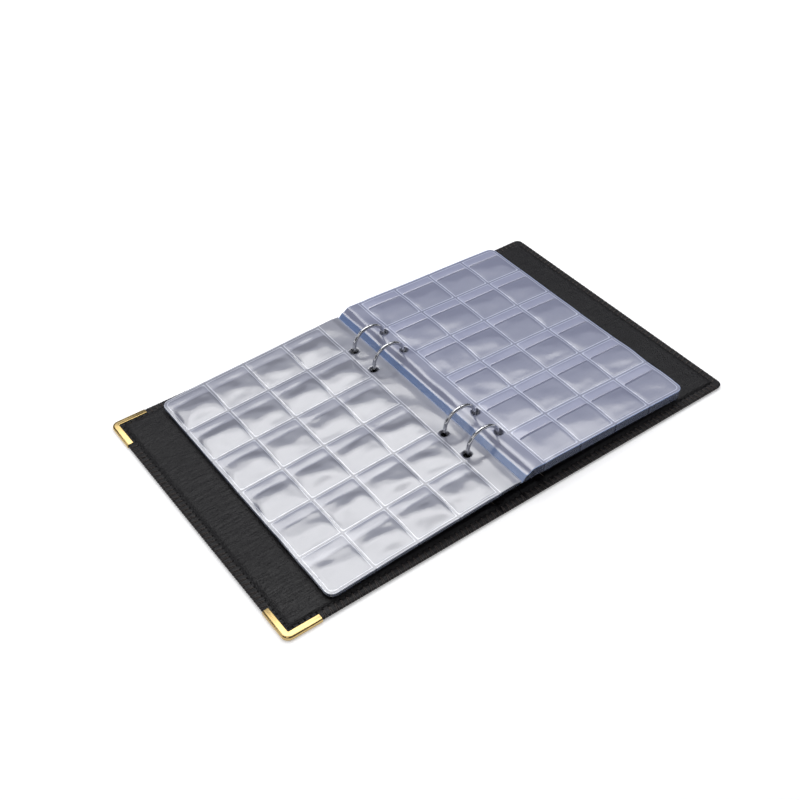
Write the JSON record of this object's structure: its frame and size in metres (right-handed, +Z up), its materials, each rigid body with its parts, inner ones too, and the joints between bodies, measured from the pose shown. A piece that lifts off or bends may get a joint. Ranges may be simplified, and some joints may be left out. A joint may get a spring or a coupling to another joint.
{
  "type": "coin album",
  "caption": "Pocket coin album with sewn leatherette covers, gilt corners, a ring mechanism and clear leaves of coin pockets that turn on the rings.",
  "frame": {"origin": "centre of the spine's under face, on the surface the open album lies on", "axes": "+X from the spine towards the back cover's fore edge, +Y towards the head of the pages, +Z up out of the open pages"},
  "size_m": [0.3205, 0.1942, 0.0267],
  "materials": {
    "leatherette": "fine pebble grain, semi-gloss",
    "greyboard": "matt pressed board",
    "thread": "twisted polyester sewing thread",
    "gilt_metal": "polished gilt",
    "nickel_plate": "bright nickel plate",
    "carrier_steel": "plain rolled steel",
    "clear_film": "clear soft vinyl, glossy"
  },
  "bodies": {
    "spine": {"ring_housing": "nickel_plate", "ring_housing_head_rivet": "nickel_plate", "ring_housing_tail_rivet": "nickel_plate", "spine_board": "greyboard", "spine_head_seam_thread": "thread", "spine_lining": "leatherette", "spine_outer_wrap": "leatherette", "spine_tail_seam_thread": "thread"},
    "front_cover": {"front_cover_board": "greyboard", "front_cover_head_corner": "gilt_metal", "front_cover_lining": "leatherette", "front_cover_outer_wrap": "leatherette", "front_cover_seam_thread": "thread", "front_cover_tail_corner": "gilt_metal"},
    "back_cover": {"back_cover_board": "greyboard", "back_cover_lining": "leatherette", "back_cover_outer_wrap": "leatherette", "back_cover_seam_thread": "thread"},
    "front_packet": {"leaf_01_back_film": "clear_film", "leaf_01_pocket_film": "clear_film", "leaf_02_back_film": "clear_film", "leaf_02_pocket_film": "clear_film"},
    "back_packet": {"leaf_05_back_film": "clear_film", "leaf_05_pocket_film": "clear_film", "leaf_06_back_film": "clear_film", "leaf_06_pocket_film": "clear_film", "leaf_07_back_film": "clear_film", "leaf_07_pocket_film": "clear_film", "leaf_08_back_film": "clear_film", "leaf_08_pocket_film": "clear_film", "leaf_09_back_film": "clear_film", "leaf_09_pocket_film": "clear_film", "leaf_10_back_film": "clear_film", "leaf_10_pocket_film": "clear_film"},
    "front_top_leaf": {"leaf_03_back_film": "clear_film", "leaf_03_pocket_film": "clear_film"},
    "back_top_leaf": {"leaf_04_back_film": "clear_film", "leaf_04_pocket_film": "clear_film"},
    "back_ring_side": {"back_half_ring_1": "nickel_plate", "back_half_ring_2": "nickel_plate", "back_half_ring_3": "nickel_plate", "back_half_ring_4": "nickel_plate", "back_ring_carrier": "carrier_steel"},
    "front_ring_side": {"front_half_ring_1": "nickel_plate", "front_half_ring_2": "nickel_plate", "front_half_ring_3": "nickel_plate", "front_half_ring_4": "nickel_plate", "front_ring_carrier": "carrier_steel"}
  },
  "joints": [
    {"name": "front_cover_fold", "type": "hinge", "parent": "spine", "child": "front_cover", "pos_m": [-0.0155, 0, 0.00035], "axis": [0, 1, 0], "range_deg": [0, 90]},
    {"name": "back_cover_fold", "type": "hinge", "parent": "spine", "child": "back_cover", "pos_m": [0.0155, 0, 0.00035], "axis": [0, -1, 0], "range_deg": [0, 90]},
    {"name": "front_packet_lift", "type": "hinge", "parent": "spine", "child": "front_packet", "pos_m": [0, 0, 0.0146], "axis": [0, 1, 0], "range_deg": [0, 90.5]},
    {"name": "back_packet_lift", "type": "hinge", "parent": "spine", "child": "back_packet", "pos_m": [0, 0, 0.0146], "axis": [0, -1, 0], "range_deg": [0, 90.5]},
    {"name": "front_top_leaf_turn", "type": "hinge", "parent": "front_packet", "child": "front_top_leaf", "pos_m": [0, 0, 0.0146], "axis": [0, -1, 0], "range_deg": [-181, 0]},
    {"name": "back_top_leaf_turn", "type": "hinge", "parent": "back_packet", "child": "back_top_leaf", "pos_m": [0, 0, 0.0146], "axis": [0, 1, 0], "range_deg": [-181, 0]},
    {"name": "rings_open", "type": "hinge", "parent": "spine", "child": "back_ring_side", "pos_m": [0.0072, 0, 0.0043], "axis": [0, -1, 0], "range_deg": [-12, 0]},
    {"name": "front_ring_side_open", "type": "hinge", "parent": "spine", "child": "front_ring_side", "pos_m": [-0.0072, 0, 0.0043], "axis": [0, 1, 0], "range_deg": [-12, 0]}
  ],
  "couplings": [
    {"joint": "front_packet_lift", "follows": "front_cover_fold", "ratio": 1.0056},
    {"joint": "back_packet_lift", "follows": "back_cover_fold", "ratio": 1.0056},
    {"joint": "front_ring_side_open", "follows": "rings_open", "ratio": 1}
  ]
}
